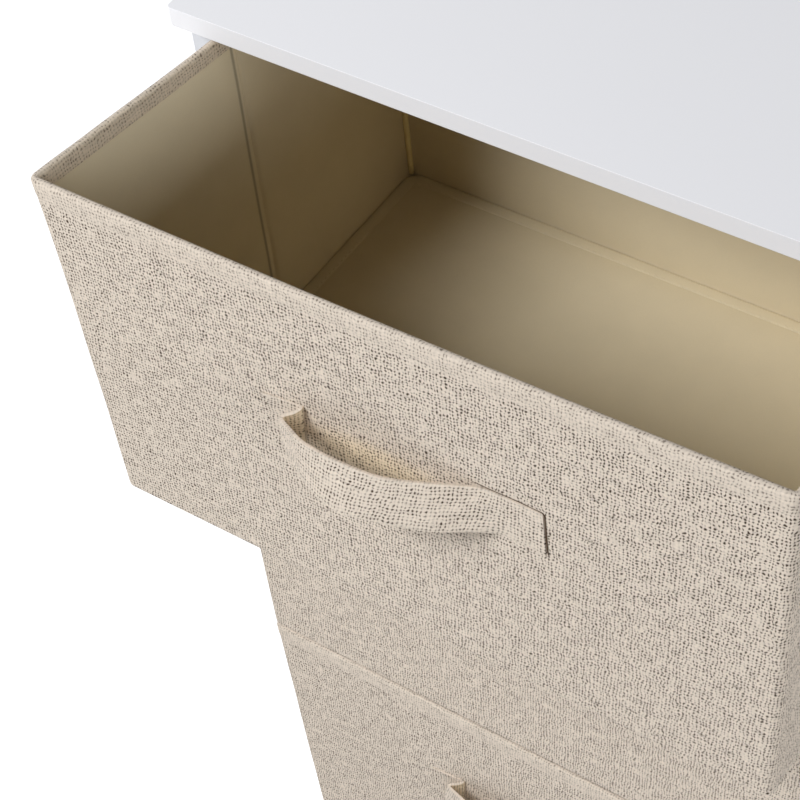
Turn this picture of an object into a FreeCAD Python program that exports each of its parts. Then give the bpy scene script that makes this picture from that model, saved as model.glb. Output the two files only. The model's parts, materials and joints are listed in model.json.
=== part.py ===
import FreeCAD, Part
import math
import os

# Fabric drawer dresser, in millimetres.  +X is the width, -Y the front, +Z up; the feet stand on Z = 0.
# A white steel frame under a board carries three linen-covered bins that slide out as drawers.
# The drawers stand where they are kept at rest: the top one well out, the other two a little out.

# ---- drawers: a linen bag stiffened with boards ----
drawer_width = 400.0
drawer_depth = 286.0
drawer_height = 222.0
drawer_pitch = 229.0            # from one drawer to the next
drawer_levels = ["bottom", "middle", "top"]
rest_pull = {"bottom": 41.0, "middle": 41.0, "top": 126.0}     # how far each stands out at rest
rest_shift = {"bottom": 0.0, "middle": 0.0, "top": -1.5}       # sideways play in its bay
cover_thickness = 1.0
board_thickness = 2.2
lining_thickness = 0.6
hem_thickness = 1.0
hem_drop = 10.0                 # the linen turned down inside the rim
fold_gap = 1.5                  # between the two halves of a side board, where the side folds
insert_thickness = 6.0          # loose base board
insert_play = 0.6
insert_binding_width = 6.0      # raised bound edge of the base board
insert_binding_rise = 0.8

# ---- strap handle ----
strap_width = 28.0
strap_thickness = 1.6
strap_half_length = 81.0        # from the drawer's middle to each sewn end
strap_height = 131.0            # its middle, above the drawer's underside
loop_start = -58.0              # where the loop leaves the front, left of the middle
loop_end = 45.0                 # where it comes back
loop_reach = 24.5               # how far its middle line stands out
loop_skew = 0.62                # below 1 puts the fullest point towards the loop's start
loop_tilt = 0.2                 # the lower edge stands out further, the upper edge less
loop_steps = 14

# ---- steel frame ----
leg_size = 16.0
tube_wall = 1.2
side_gap = 4.0                  # between a drawer and a leg
back_gap = 2.0                  # between a closed drawer and its stop
floor_gap = 50.0                # under the bottom drawer
top_gap = 6.0                   # over the top drawer
runner_thickness = 2.5
runner_clearance = 0.5
runner_overlap = 18.0           # how far a runner reaches under a drawer
stop_height = 30.0              # of the back stop above the drawer's underside
tie_thickness = 4.0

# ---- top board ----
top_thickness = 12.0
top_front_overhang = 14.0
top_back_overhang = 2.0
top_side_overhang = 1.0
top_corner_radius = 3.0
top_edge_radius = 2.5
top_under_radius = 0.8

# ---- feet and fasteners ----
foot_height = 6.0
foot_plug_height = 16.0
foot_plug_play = 0.1
foot_edge_radius = 1.5
bolt_radius = 3.0
bolt_hole_radius = 3.2
bolt_head_radius = 5.5
bolt_head_height = 1.8
insert_nut_length = 14.0
insert_nut_play = 0.1
screw_radius = 2.0
screw_hole_radius = 2.2
screw_head_radius = 4.0
screw_head_height = 2.5
screw_bite = 8.0                # depth of a screw in the top board
screw_offset = 90.0             # of each screw from the frame's middle

# ---- places worked out from the sizes above ----
bay_half = drawer_width / 2 + side_gap
frame_half = bay_half + leg_size
top_half = frame_half + top_side_overhang
frame_top = floor_gap + (len(drawer_levels) - 1) * drawer_pitch + drawer_height + top_gap
inner_depth = drawer_depth + back_gap - top_front_overhang - leg_size       # between the legs
frame_depth = inner_depth + 2 * leg_size
top_depth = top_front_overhang + frame_depth + top_back_overhang

# Y = 0 halves the whole length, from the open drawer's handle to the top board's back edge.
handle_reach = loop_reach * (1 + loop_tilt) + strap_thickness
front_reach = rest_pull["top"] + handle_reach
top_front = front_reach - (front_reach + top_depth) / 2
frame_front = top_front + top_front_overhang
frame_back = frame_front + frame_depth
inner_front = frame_front + leg_size
inner_back = frame_back - leg_size
frame_middle = (frame_front + frame_back) / 2
sides = {"left": -1, "right": 1}


def box(x_from, x_to, y_from, y_to, z_from, z_to):
    """A block between three pairs of limits, given in either order."""
    low = FreeCAD.Vector(min(x_from, x_to), min(y_from, y_to), min(z_from, z_to))
    return Part.makeBox(abs(x_to - x_from), abs(y_to - y_from), abs(z_to - z_from), low)


def rod(radius, start, end):
    """A round bar between two points."""
    along = FreeCAD.Vector(*end) - FreeCAD.Vector(*start)
    return Part.makeCylinder(radius, along.Length, FreeCAD.Vector(*start), along)


def square_tube(axis, limits):
    """A square steel tube open at both ends: the bore runs along axis, 0 for X, 1 for Y, 2 for Z."""
    bore = []
    for direction in range(3):
        low, high = limits[2 * direction:2 * direction + 2]
        wall = 0.0 if direction == axis else tube_wall
        bore += [min(low, high) + wall, max(low, high) - wall]
    return box(*limits).cut(box(*bore))


def level_bottom(level):
    """Height of a drawer's underside."""
    return floor_gap + drawer_levels.index(level) * drawer_pitch


def save(node, shape):
    shape.exportStep("parts/%s.step" % node)


# ---- frame ----

def stop_bottom(level):
    """Height of the lower face of a level's back stop."""
    return level_bottom(level) + stop_height


def bolt_heights(end):
    """Heights of the bolts in the legs at one end: the cross tubes that they hold."""
    if end == "front":
        return [level_bottom("bottom") - runner_clearance - runner_thickness - leg_size / 2]
    stops = [stop_bottom(level) + leg_size / 2 for level in drawer_levels]
    return stops + [frame_top - leg_size / 2]


def leg_y(end):
    """The two faces of the legs at one end of the frame."""
    return (frame_front, inner_front) if end == "front" else (inner_back, frame_back)


def leg(side, end):
    """An upright with a hole through both walls for each bolt."""
    x_inner = sides[side] * bay_half
    x_outer = sides[side] * frame_half
    y_near, y_far = leg_y(end)
    tube = square_tube(2, [x_inner, x_outer, y_near, y_far, foot_height, frame_top])
    y_middle = (y_near + y_far) / 2
    for height in bolt_heights(end):
        tube = tube.cut(rod(bolt_hole_radius, (x_inner, y_middle, height), (x_outer, y_middle, height)))
    return tube


def foot(side, end):
    """A plastic foot under a leg, with a plug that sits in the tube."""
    x_middle = sides[side] * (bay_half + frame_half) / 2
    y_middle = sum(leg_y(end)) / 2
    half = leg_size / 2
    pad = box(x_middle - half, x_middle + half, y_middle - half, y_middle + half, 0, foot_height)
    lower = [edge for edge in pad.Edges if edge.BoundBox.ZMax < foot_height - foot_edge_radius]
    pad = pad.makeFillet(foot_edge_radius, lower)
    plug = half - tube_wall - foot_plug_play
    return pad.fuse(box(x_middle - plug, x_middle + plug, y_middle - plug, y_middle + plug,
                        foot_height, foot_height + foot_plug_height)).removeSplitter()


def side_rail(side, z_top):
    """A tube from the front leg to the back leg."""
    return square_tube(1, [sides[side] * bay_half, sides[side] * frame_half,
                           inner_front, inner_back, z_top - leg_size, z_top])


def screw_places():
    """Centres of the screws that hold the top board, one pair in each top side rail."""
    x_middle = (bay_half + frame_half) / 2
    return [(x_sign * x_middle, frame_middle + y_sign * screw_offset)
            for x_sign in (-1, 1) for y_sign in (-1, 1)]


def top_side_rail(side):
    """The rail under the board, drilled for its screws."""
    rail = side_rail(side, frame_top)
    for x, y in screw_places():
        if x * sides[side] > 0:
            rail = rail.cut(rod(screw_hole_radius, (x, y, frame_top - leg_size), (x, y, frame_top)))
    return rail


def runner(side, level):
    """A flat strip on a side rail that reaches inwards under a drawer's edge."""
    z_top = level_bottom(level) - runner_clearance
    return box(sides[side] * frame_half, sides[side] * (bay_half - runner_overlap),
               inner_front, inner_back, z_top - runner_thickness, z_top)


def cross_tube(end, z_bottom):
    """A tube from the left leg to the right leg."""
    y_near, y_far = leg_y(end)
    return square_tube(0, [-bay_half, bay_half, y_near, y_far, z_bottom, z_bottom + leg_size])


def front_tie():
    """A flat bar under the top board, from leg to leg."""
    return box(-bay_half, bay_half, frame_front, inner_front, frame_top - tie_thickness, frame_top)


def bolt_rows():
    """Side, Y and height of every frame bolt."""
    return [(sign, sum(leg_y(end)) / 2, height)
            for end in ("front", "back") for height in bolt_heights(end) for sign in (-1, 1)]


def frame_bolts():
    """Low-headed bolts through the legs into the cross tubes."""
    bolts = []
    for sign, y, height in bolt_rows():
        outer = sign * frame_half
        tip = sign * (bay_half - insert_nut_length)
        head = rod(bolt_head_radius, (outer, y, height), (outer + sign * bolt_head_height, y, height))
        bolts.append(rod(bolt_radius, (tip, y, height), (outer, y, height)).fuse(head).removeSplitter())
    return Part.Compound(bolts)


def bolt_inserts():
    """Threaded blocks in the ends of the cross tubes, one for each bolt."""
    half = leg_size / 2 - tube_wall - insert_nut_play
    blocks = []
    for sign, y, height in bolt_rows():
        near = sign * (bay_half - insert_nut_length)
        block = box(near, sign * bay_half, y - half, y + half, height - half, height + half)
        blocks.append(block.cut(rod(bolt_radius, (near, y, height), (sign * bay_half, y, height))))
    return Part.Compound(blocks)


def board_screws():
    """Screws driven up through the top side rails into the board."""
    screws = []
    for x, y in screw_places():
        z_under = frame_top - leg_size
        shank = rod(screw_radius, (x, y, z_under), (x, y, frame_top + screw_bite))
        head = rod(screw_head_radius, (x, y, z_under - screw_head_height), (x, y, z_under))
        screws.append(shank.fuse(head).removeSplitter())
    return Part.Compound(screws)


def top_board():
    """The board, with rounded corners and edges and a blind hole over each screw."""
    board = box(-top_half, top_half, top_front, top_front + top_depth, frame_top, frame_top + top_thickness)
    uprights = [edge for edge in board.Edges if edge.BoundBox.ZLength > top_thickness / 2]
    board = board.makeFillet(top_corner_radius, uprights)
    upper = [edge for edge in board.Edges if edge.BoundBox.ZMin > frame_top + top_thickness / 2]
    board = board.makeFillet(top_edge_radius, upper)
    lower = [edge for edge in board.Edges if edge.BoundBox.ZMax < frame_top + top_thickness / 2]
    board = board.makeFillet(top_under_radius, lower)
    for x, y in screw_places():
        board = board.cut(rod(screw_radius, (x, y, frame_top), (x, y, frame_top + screw_bite)))
    return board


# ---- one drawer ----

def drawer_front(level):
    """Y of a drawer's front where it stands at rest."""
    return top_front - rest_pull[level]


def drawer_block(level, inset, z_from, z_to):
    """A block as large as the drawer less inset on its four sides, between two heights above its underside."""
    x_half = drawer_width / 2 - inset
    x_middle = rest_shift[level]
    y_front = drawer_front(level)
    z_base = level_bottom(level)
    return box(x_middle - x_half, x_middle + x_half, y_front + inset, y_front + drawer_depth - inset,
               z_base + z_from, z_base + z_to)


inside_cover = cover_thickness
inside_boards = inside_cover + board_thickness
inside_lining = inside_boards + lining_thickness
inside_hem = inside_lining + hem_thickness
rim_underside = drawer_height - hem_thickness


def cover(level):
    """The linen bag, turned over the rim and down inside it."""
    bag = drawer_block(level, 0, 0, drawer_height)
    bag = bag.cut(drawer_block(level, inside_cover, cover_thickness, rim_underside))
    bag = bag.cut(drawer_block(level, inside_hem, rim_underside, drawer_height))
    hem = drawer_block(level, inside_lining, drawer_height - hem_drop, rim_underside)
    hem = hem.cut(drawer_block(level, inside_hem, drawer_height - hem_drop, rim_underside))
    return bag.fuse(hem).removeSplitter()


def lining(level):
    """The plain inner bag, caught under the hem."""
    bag = drawer_block(level, inside_boards, cover_thickness, rim_underside)
    return bag.cut(drawer_block(level, inside_lining, cover_thickness + lining_thickness, rim_underside))


def wall_boards(level):
    """The stiffening boards between cover and lining: front, back, and each side in two halves."""
    outside = drawer_block(level, inside_cover, cover_thickness, rim_underside)
    ring = outside.cut(drawer_block(level, inside_boards, cover_thickness, rim_underside))
    y_front = drawer_front(level)
    z_base = level_bottom(level)
    x_limit = drawer_width
    half_board = (drawer_depth - fold_gap) / 2

    def slab(y_from, y_to, x_from=-x_limit, x_to=x_limit):
        cutter = box(x_from, x_to, y_front + y_from, y_front + y_to, z_base, z_base + drawer_height)
        return ring.common(cutter)

    boards = {
        "front_board": slab(0, inside_boards),
        "back_board": slab(drawer_depth - inside_boards, drawer_depth),
    }
    for side, sign in sides.items():
        near = slab(inside_boards, half_board, 0, sign * x_limit)
        far = slab(drawer_depth - half_board, drawer_depth - inside_boards, 0, sign * x_limit)
        boards[side + "_boards"] = Part.Compound(near.Solids + far.Solids)
    return boards


def base_insert(level):
    """The loose base board, with a raised bound edge."""
    inset = inside_lining + insert_play
    z_low = cover_thickness + lining_thickness
    z_high = z_low + insert_thickness
    plate = drawer_block(level, inset, z_low, z_high)
    binding = drawer_block(level, inset, z_high, z_high + insert_binding_rise)
    field = drawer_block(level, inset + insert_binding_width, z_high, z_high + insert_binding_rise)
    return plate.fuse(binding.cut(field)).removeSplitter()


def strap_line():
    """The strap's middle line in plan, as (x, reach) from the drawer's middle and front."""
    line = [(-strap_half_length, 0.0)]
    for step in range(loop_steps + 1):
        share = (step / loop_steps) ** (1 / loop_skew)
        reach = loop_reach * math.sin(math.pi * step / loop_steps)
        line.append((loop_start + share * (loop_end - loop_start), reach))
    line.append((strap_half_length, 0.0))
    return line


def strap_section(line, index, level):
    """The strap's cross-section at one point of its middle line."""
    before = line[max(index - 1, 0)]
    after = line[min(index + 1, len(line) - 1)]
    run = math.hypot(after[0] - before[0], after[1] - before[1])
    x, reach = line[index]
    sideways = (after[1] - before[1]) / run * strap_thickness / 2
    outwards = (after[0] - before[0]) / run * strap_thickness / 2
    front = drawer_front(level)
    middle = level_bottom(level) + strap_height
    corners = []
    for edge, face in ((-1, 1), (1, 1), (1, -1), (-1, -1)):
        stand = reach * (1 - edge * loop_tilt) + strap_thickness / 2 + face * outwards
        corners.append(FreeCAD.Vector(rest_shift[level] + x - face * sideways, front - stand,
                                      middle + edge * strap_width / 2))
    return Part.makePolygon(corners + corners[:1])


def handle(level):
    """The strap: two ends flat on the front and a loop between them, fuller towards one end."""
    line = strap_line()
    sections = [strap_section(line, index, level) for index in range(len(line))]
    return Part.makeLoft(sections, True, True)


# ---- write every piece ----

def main():
    os.makedirs("parts", exist_ok=True)
    for side in sides:
        for end in ("front", "back"):
            save("%s_%s_leg" % (end, side), leg(side, end))
            save("%s_%s_foot" % (end, side), foot(side, end))
        save("top_%s_rail" % side, top_side_rail(side))
        for level in drawer_levels:
            rail_top = level_bottom(level) - runner_clearance - runner_thickness
            save("%s_%s_rail" % (level, side) if level != "top" else "upper_%s_rail" % side,
                 side_rail(side, rail_top))
            save("%s_%s_runner" % (level, side), runner(side, level))
    for level in drawer_levels:
        save("%s_back_stop" % level, cross_tube("back", stop_bottom(level)))
    save("top_back_tube", cross_tube("back", frame_top - leg_size))
    save("bottom_front_tube", cross_tube("front", bolt_heights("front")[0] - leg_size / 2))
    save("top_front_tie", front_tie())
    save("top_board", top_board())
    save("frame_bolts", frame_bolts())
    save("bolt_inserts", bolt_inserts())
    save("board_screws", board_screws())
    for level in drawer_levels:
        save("%s_drawer_cover" % level, cover(level))
        save("%s_drawer_lining" % level, lining(level))
        for name, board in wall_boards(level).items():
            save("%s_drawer_%s" % (level, name), board)
        save("%s_drawer_base_insert" % level, base_insert(level))
        save("%s_drawer_handle" % level, handle(level))


main()
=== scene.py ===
"""Fabric drawer dresser: linen bins with folding boards on a white steel frame, under a white board top.

Laid out as an add-on. Run as a script, it dresses the loaded frame and sets up the studio.
Sizes are in metres, in the frame's own axes: x to the right, y to the back, z up.
"""
import json
import math
from typing import NamedTuple

import bmesh
import bpy
from bpy.props import FloatProperty, FloatVectorProperty, PointerProperty
from mathutils import Matrix, Vector, noise


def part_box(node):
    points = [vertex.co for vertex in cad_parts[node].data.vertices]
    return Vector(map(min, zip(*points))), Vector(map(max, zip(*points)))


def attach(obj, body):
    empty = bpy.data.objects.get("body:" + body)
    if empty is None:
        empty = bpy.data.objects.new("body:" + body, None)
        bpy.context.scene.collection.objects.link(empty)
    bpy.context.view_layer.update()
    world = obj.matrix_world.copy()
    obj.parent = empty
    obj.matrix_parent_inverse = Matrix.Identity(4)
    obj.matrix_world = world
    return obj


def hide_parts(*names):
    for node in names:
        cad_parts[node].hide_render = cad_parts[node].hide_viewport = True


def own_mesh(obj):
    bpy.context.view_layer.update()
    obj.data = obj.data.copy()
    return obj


bl_info = {
    "name": "Fabric Drawer Dresser",
    "version": (1, 0, 0),
    "blender": (4, 5, 0),
    "location": "3D View > Sidebar > Dresser",
    "description": "Dresses a steel drawer frame with linen bins, strap handles and a board top",
    "category": "Add Mesh",
}

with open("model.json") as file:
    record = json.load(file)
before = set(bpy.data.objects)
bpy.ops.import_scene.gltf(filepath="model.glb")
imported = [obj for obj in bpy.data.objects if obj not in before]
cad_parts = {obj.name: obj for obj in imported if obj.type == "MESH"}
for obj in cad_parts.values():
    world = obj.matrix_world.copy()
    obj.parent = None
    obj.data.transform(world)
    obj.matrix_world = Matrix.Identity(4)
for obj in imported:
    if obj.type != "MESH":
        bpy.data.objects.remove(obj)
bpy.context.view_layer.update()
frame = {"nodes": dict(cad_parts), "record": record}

LEVELS = ("bottom", "middle", "top")
MM = 0.001


# ---------------------------------------------------------------- sizes and colours

def number(name, description, default, **shown):
    """A number that the sidebar shows, with the unit or subtype that it is shown in."""
    return FloatProperty(name=name, description=description, default=default, **shown)


def length(name, description, default):
    """A size that the sidebar shows, in metres."""
    return number(name, description, default, unit="LENGTH", precision=4)


def angle(name, description, degrees):
    """An angle that the sidebar shows, given in degrees."""
    return number(name, description, math.radians(degrees), subtype="ANGLE")


def colour(name, description, red, green, blue):
    """A colour that the sidebar shows, given as 0 to 255 as a paint chart does."""
    default = tuple(linear(part / 255) for part in (red, green, blue))
    return FloatVectorProperty(name=name, description=description, default=default,
                               subtype="COLOR", size=3, min=0.0, max=1.0)


def linear(part):
    """A screen value as an amount of light."""
    if part <= 0.04045:
        return part / 12.92
    return ((part + 0.055) / 1.055) ** 2.4


class DresserCloth(bpy.types.PropertyGroup):
    """Sizes of the sewn bins."""

    cover: length("Cover", "Thickness of the linen cover", 1.0 * MM)
    lining: length("Lining", "Thickness of the lining", 0.6 * MM)
    hem: length("Hem depth", "How far the cover is turned in over the rim", 10 * MM)
    corner: length("Corner radius", "Rounding of the upright corners", 5.4 * MM)
    spacing: length("Mesh spacing", "Distance between the points of a wall", 10 * MM)
    crease: length("Fold depth", "Depth of the fold line in the lining of each side wall", 1.5 * MM)
    slack: length("Slack", "Height of the soft ripples in the cloth", 0.35 * MM)


class DresserStrap(bpy.types.PropertyGroup):
    """Sizes of the strap handles and of the seams."""

    width: length("Strap width", "Width of the doubled linen strap", 28 * MM)
    run: length("Strap length", "Length of the strap with its sewn ends", 195 * MM)
    thickness: length("Strap thickness", "Thickness of the doubled linen strap", 1.6 * MM)
    edge: length("Strap edge", "Rounding along the strap's edges", 0.6 * MM)
    stitch: length("Stitch", "Length of one stitch", 3.0 * MM)
    thread: length("Thread", "Thickness of the sewing thread", 0.5 * MM)
    pitch: length("Stitch pitch", "Distance from one stitch to the next", 4.2 * MM)


class DresserBoard(bpy.types.PropertyGroup):
    """Sizes of the board top and of the base boards."""

    corner: length("Corner radius", "Rounding of the board's upright corners", 3.0 * MM)
    upper_edge: length("Upper edge", "Rounding of the board's upper edge", 0.22 * MM)
    lower_edge: length("Lower edge", "Rounding of the board's lower edge", 0.5 * MM)
    binding: length("Binding width", "Width of the bound edge of a base board", 7.5 * MM)
    binding_rise: length("Binding rise", "How far the bound edge stands above the board", 0.5 * MM)


class DresserColours(bpy.types.PropertyGroup):
    """Colours of the cloth, the board and the frame."""

    thread: colour("Linen thread", "Light threads of the linen", 215, 200, 183)
    gap: colour("Linen gap", "Dark gaps between the linen's threads", 60, 40, 22)
    lining: colour("Lining", "Lining and base boards", 221, 206, 175)
    tape: colour("Tape", "Tape over the inner corners", 250, 232, 178)
    # Painted shade: this dark colour paints the shade in the strap's slit and in the stitch holes of its
    # left tab.
    slit: colour("Slit", "Shaded edge of the strap's slit", 84, 66, 50)
    board: colour("Board", "Laminate of the board top", 245, 242, 242)
    steel: colour("Steel", "Powder coat of the steel frame", 216, 216, 219)
    plastic: colour("Plastic", "Feet of the legs", 225, 226, 228)
    zinc: colour("Zinc", "Bolts and screws", 176, 178, 180)


class DresserStudio(bpy.types.PropertyGroup):
    """The camera, the lamps and the floor."""

    lens: number("Lens", "Focal length, in millimetres", 101.44)
    sensor: number("Sensor", "Width of the sensor, in millimetres", 36.0)
    place: FloatVectorProperty(name="Camera", description="Where the camera stands", size=3,
                               default=(0.4458, -0.7342, 1.4583), subtype="TRANSLATION")
    azimuth: angle("Azimuth", "Turn of the view about the upright", -39.70)
    elevation: angle("Elevation", "How far the view looks down", 47.87)
    roll: angle("Roll", "Roll of the camera", -7.79)
    key: number("Key light", "Power of the large lamp on the left", 111.0, unit="POWER")
    fill: number("Fill light", "Power of the low lamp on the right", 20.0, unit="POWER")
    side: number("Side light", "Power of the low lamp at the right side", 26.0, unit="POWER")
    back: number("Back light", "Power of the lamp behind", 24.0, unit="POWER")
    ambient: number("Ambient", "Strength of the room's light", 0.03)


# ---------------------------------------------------------------- where things are

BOXES = {level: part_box(level + "_drawer_cover") for level in LEVELS}


def bin_corner(level):
    """The front left lower corner of a bin."""
    return BOXES[level][0]


def bin_size(level):
    """Width, depth and height of a bin."""
    low, high = BOXES[level]
    return high - low


def clamp(value, low, high):
    """The value, kept between low and high."""
    return max(low, min(high, value))


class Slump(NamedTuple):
    """How far the cloth of a bin hangs out of true at the named places, in metres."""

    left_flare: float        # the left wall leans out, at its front rim
    right_flare: float       # and the right one
    left_nod: float          # the front leans back at its left end
    right_nod: float         # and at its right end
    bow: float               # the middle of the front rim comes forward
    left_lift: float         # the rim rises at its front left corner
    right_lift: float        # and at the right one
    pinch: float             # the side walls draw in at the fold line
    toe: float = 0.0         # the left wall's front foot is drawn in


SLUMPS = {
    "top": Slump(left_flare=13.7 * MM, right_flare=3.2 * MM, left_nod=2.3 * MM, right_nod=5.9 * MM,
                 bow=1.9 * MM, left_lift=2.8 * MM, right_lift=3.9 * MM, pinch=2.0 * MM,
                 toe=-0.8 * MM),
    "middle": Slump(left_flare=3.2 * MM, right_flare=0.8 * MM, left_nod=0.8 * MM,
                    right_nod=1.4 * MM, bow=1.8 * MM, left_lift=3.0 * MM, right_lift=3.4 * MM,
                    pinch=1.0 * MM),
    "bottom": Slump(left_flare=0.9 * MM, right_flare=1.2 * MM, left_nod=0.4 * MM,
                    right_nod=0.2 * MM, bow=0.2 * MM, left_lift=4.4 * MM, right_lift=4.4 * MM,
                    pinch=1.2 * MM, toe=7.5 * MM),
}
LEFT_REACH = 40 * MM      # how far back the lift of the front rim is felt on the left
RIGHT_REACH = 27 * MM     # and on the right
RIPPLE = 45 * MM          # distance between the soft ripples
RIPPLE_SEED = 1           # picks the ripples, so that they are the same in every run
FRONT_BULGE = 1.35        # how much a leaning side wall swells out between its fold and its front
RIM_CURL = 0.23           # share of the left wall's lean that comes close under the rim

noise.seed_set(RIPPLE_SEED)


def slumped(level, point, slack):
    """Where the slack cloth carries a point, both given from the bin's front left lower corner."""
    size = bin_size(level)
    slump = SLUMPS[level]
    u = clamp(point.x / size.x, 0.0, 1.0)
    s = clamp(point.z / size.z, 0.0, 1.0)
    y = clamp(point.y, 0.0, size.y)
    fold = size.y / 2
    ahead = max(0.0, 1.0 - y / fold)
    front = ahead + FRONT_BULGE * (1 - ahead) * ahead ** 3
    near_fold = max(0.0, 1.0 - abs(y - fold) / fold)
    left_end = (1 - u) * max(0.0, 1.0 - y / LEFT_REACH) ** 1.5
    right_end = u * max(0.0, 1.0 - y / RIGHT_REACH) ** 2
    lean = (1 - RIM_CURL) * s + RIM_CURL * s ** 4
    flare = (1 - u) * (slump.toe * (1 - s) - slump.left_flare * lean)
    flare += u * slump.right_flare * s
    pinch = slump.pinch * s * near_fold * (1 - 2 * u)
    nod = ((1 - u) * slump.left_nod + u * slump.right_nod) * s - slump.bow * 4 * u * (1 - u) * s * s
    lift = (left_end * slump.left_lift + right_end * slump.right_lift) * s * s
    apart = LEVELS.index(level) * 7.3        # so that no two bins ripple alike
    at = Vector((point.x, y, point.z)) / RIPPLE + Vector((apart, apart, apart))
    calm = min(1.0, 4 * s) * min(1.0, 4 * (1 - s) + 0.35)        # flat at the foot, calmer at the rim
    ripple = noise.noise_vector(at) * slack * calm
    return point + Vector((front * flare + pinch + ripple.x, front * nod + ripple.y, lift))


# ---------------------------------------------------------------- pieces from meshes

def mesh_object(bm, name, material):
    """Turns a finished bmesh into an object of one material."""
    mesh = bpy.data.meshes.new(name)
    bm.to_mesh(mesh)
    bm.free()
    mesh.materials.append(material)
    made = bpy.data.objects.new(name, mesh)
    bpy.context.collection.objects.link(made)
    return made


def piece(bm, name, body, material):
    """Turns a finished bmesh into a smooth piece that rides on a body."""
    made = mesh_object(bm, name, material)
    for polygon in made.data.polygons:
        polygon.use_smooth = True
    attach(made, body)
    return made


def close(bm):
    """Merges doubled points and turns every face outwards."""
    bmesh.ops.remove_doubles(bm, verts=bm.verts[:], dist=0.01 * MM)
    bmesh.ops.recalc_face_normals(bm, faces=bm.faces[:])


def add_box(bm, low, high):
    """A box from the corner low to the corner high. Returns its points."""
    place = Matrix.Translation((low + high) / 2) @ Matrix.Diagonal((*(high - low), 1))
    made = bmesh.ops.create_cube(bm, size=1.0)["verts"]
    bmesh.ops.transform(bm, matrix=place, verts=made)
    return made


def add_grain(bm, place, sizes):
    """A small rounded grain, such as one stitch, with its half sizes."""
    made = bmesh.ops.create_icosphere(bm, subdivisions=1, radius=1.0)["verts"]
    bmesh.ops.transform(bm, matrix=place @ Matrix.Diagonal((*sizes, 1)), verts=made)


def round_off(bm, parts, radius, segments, affect="EDGES"):
    """Rounds edges, or with VERTICES the corners of an outline."""
    bmesh.ops.bevel(bm, geom=parts, offset=radius, offset_type="OFFSET", segments=segments,
                    profile=0.5, affect=affect, material=-1)


def extend(bm, rim):
    """Extrudes a rim of edges, and returns the new rim and its points."""
    made = bmesh.ops.extrude_edge_only(bm, edges=rim)["geom"]
    edges = [part for part in made if isinstance(part, bmesh.types.BMEdge)]
    verts = [part for part in made if isinstance(part, bmesh.types.BMVert)]
    return edges, verts


def outline(bm, low, high, radius, spacing):
    """A rounded rectangle of edges in the plane z = 0, from the corner low to the corner high."""
    middle = ((low[0] + high[0]) / 2, (low[1] + high[1]) / 2, 0)
    spread = Matrix.Diagonal((high[0] - low[0], high[1] - low[1], 1, 1))
    bmesh.ops.create_grid(bm, x_segments=1, y_segments=1, size=0.5)
    bmesh.ops.transform(bm, matrix=Matrix.Translation(middle) @ spread, verts=bm.verts[:])
    round_off(bm, bm.verts[:], radius, 5, affect="VERTICES")
    bmesh.ops.delete(bm, geom=bm.faces[:], context="FACES_ONLY")
    for edge in [edge for edge in bm.edges if edge.calc_length() > 2 * spacing]:
        bmesh.ops.bisect_edges(bm, edges=[edge], cuts=round(edge.calc_length() / spacing) - 1)
    return bm.edges[:]


def walk_round(first, edge):
    """The points of a closed outline from first on, each with the length of the edge after it."""
    vert = first
    while True:
        yield vert, edge.calc_length()
        vert = edge.other_vert(vert)
        if vert is first:
            return
        edge = next(each for each in vert.link_edges if each is not edge)


def measure_girth(bm, layer, start):
    """Writes each point's distance round the outline from the one nearest to start.

    Returns the girth.
    """
    first = min(bm.verts, key=lambda vert: (vert.co - start).length)
    edge = min(first.link_edges, key=lambda each: each.other_vert(first).co.x)
    girth = 0.0
    for vert, step in walk_round(first, edge):
        vert[layer] = girth
        girth += step
    return girth


def loft(bm, low, high, radius, profile, spacing):
    """Carries a rounded rectangle through steps of (inset, height) and closes both ends.

    Each point is given its way round the shape and along the profile. Returns the girth.
    """
    rim = outline(bm, low, high, radius, spacing)
    first_rim = rim
    round_layer = bm.verts.layers.float.new("round")
    along_layer = bm.verts.layers.float.new("along")
    girth = measure_girth(bm, round_layer, Vector(((low[0] + high[0]) / 2, high[1], 0)))
    along = 0.0
    previous = None
    for inset, height in profile:
        if previous is None:
            verts = bm.verts[:]
        else:
            along += math.hypot(inset - previous[0], height - previous[1])
            rim, verts = extend(bm, rim)
        for vert in verts:
            core = Vector((clamp(vert.co.x, low[0] + radius, high[0] - radius),
                           clamp(vert.co.y, low[1] + radius, high[1] - radius), vert.co.z))
            out = (vert.co - core).normalized()
            vert.co = core + out * (radius - inset)
            vert.co.z = height
            vert[along_layer] = along
        previous = (inset, height)
    bmesh.ops.contextual_create(bm, geom=first_rim)
    bmesh.ops.contextual_create(bm, geom=rim)
    return girth


MAP_STEP = 1.7            # from one level's cloth map to the next, so that no two match
MAP_GAP = 0.6             # between the starts of the maps that belong to one level


def lay_cloth_map(bm, girth, start):
    """Writes the "cloth" map in metres: u goes round the shape from start, and v along it."""
    round_layer = bm.verts.layers.float["round"]
    along_layer = bm.verts.layers.float["along"]
    cloth = bm.loops.layers.uv.new("cloth")
    for face in bm.faces:
        flat = abs(face.normal.z) > 0.9 and face.calc_area() > 10 * MM * 10 * MM
        rounds = [loop.vert[round_layer] for loop in face.loops]
        wraps = max(rounds) - min(rounds) > girth / 2
        for loop, u in zip(face.loops, rounds):
            if flat:
                loop[cloth].uv = (start - MAP_GAP + loop.vert.co.x, loop.vert.co.y)
            else:
                turn = girth if wraps and u < girth / 2 else 0.0
                loop[cloth].uv = (start + u + turn, loop.vert[along_layer])


def rows(inset, low, high, count):
    """Steps of a straight wall, evenly spread from low to high."""
    return [(inset, low + (high - low) * step / count) for step in range(count + 1)]


FOLD_BACK = 3.5 * MM      # how far behind the middle the sides fold
FOLD_WIDTH = 1.3 * MM     # from the line to where a third of its depth is left


def fold_line(size):
    """How far back the line lies on which a bin's sides fold."""
    return size.y / 2 + FOLD_BACK


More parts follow.
